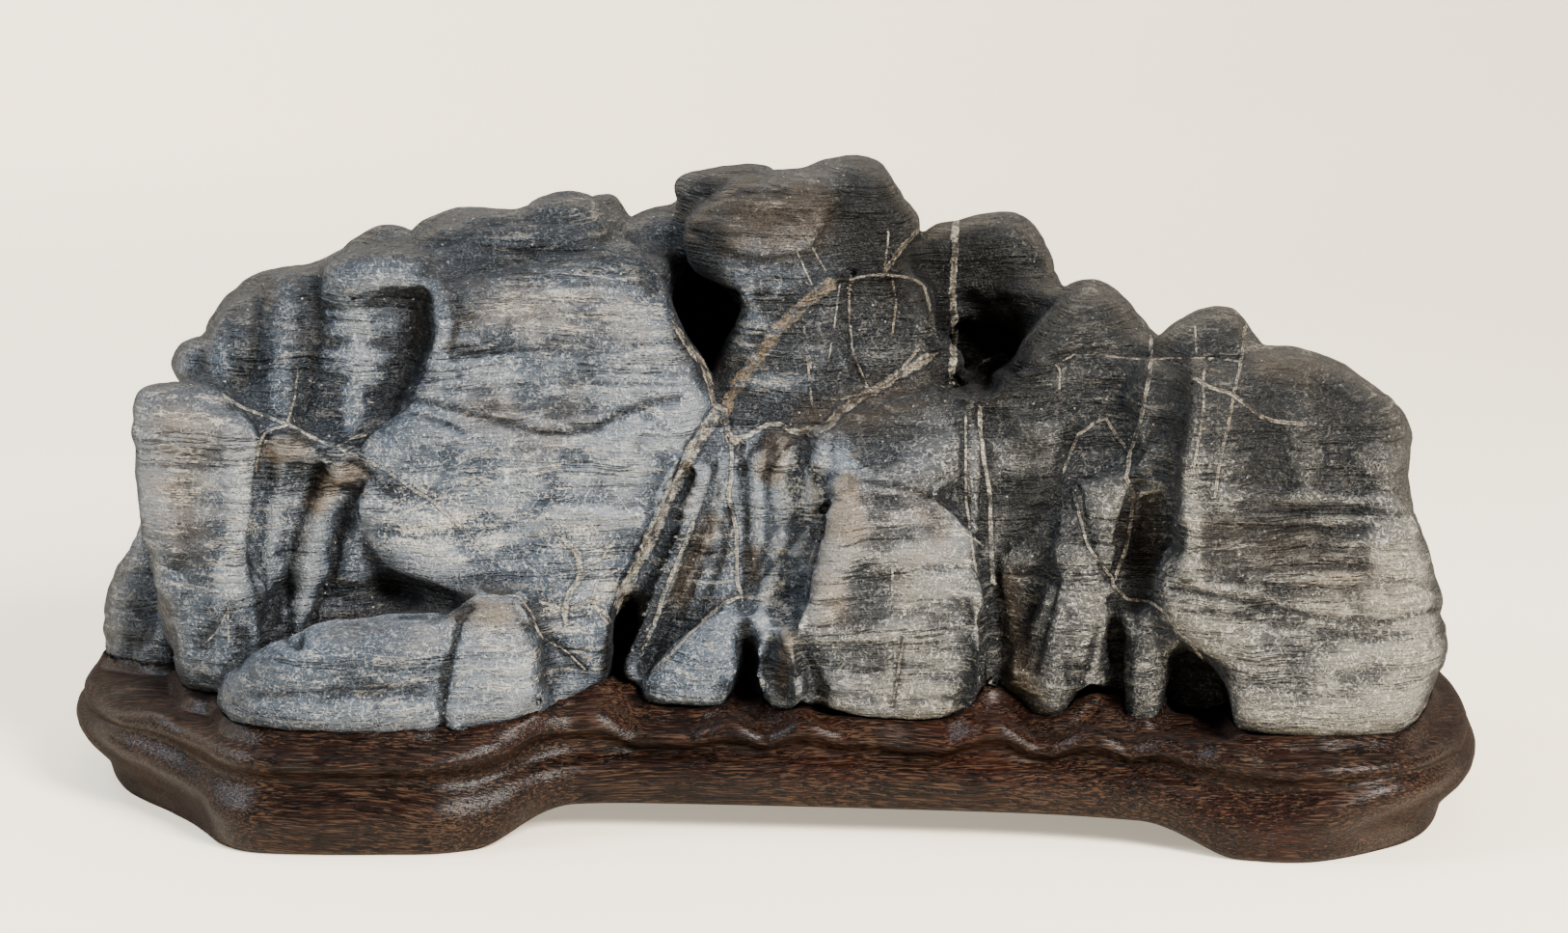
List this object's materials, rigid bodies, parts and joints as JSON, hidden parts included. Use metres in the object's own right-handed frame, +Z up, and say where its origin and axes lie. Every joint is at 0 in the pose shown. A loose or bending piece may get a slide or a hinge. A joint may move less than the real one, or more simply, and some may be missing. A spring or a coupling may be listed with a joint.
{
  "type": "scholar's rock on a wooden stand",
  "caption": "Water-worn limestone mountain with clefts, pillars and pale veins, resting in a seat carved to its shape in a low footed hardwood stand, for display on a shelf or desk.",
  "frame": {"origin": "under the middle of the object's box, on the plane that its feet rest on", "axes": "+X along the length to the viewer's right, +Y away from the side that is shown, +Z up"},
  "size_m": [0.3986, 0.1918, 0.1747],
  "materials": {
    "limestone": "worn satin, blue-grey with pale calcite veins",
    "dark_hardwood": "dark oiled hardwood, satin"
  },
  "bodies": {
    "root": {"rock": "limestone", "stand": "dark_hardwood"}
  },
  "joints": []
}
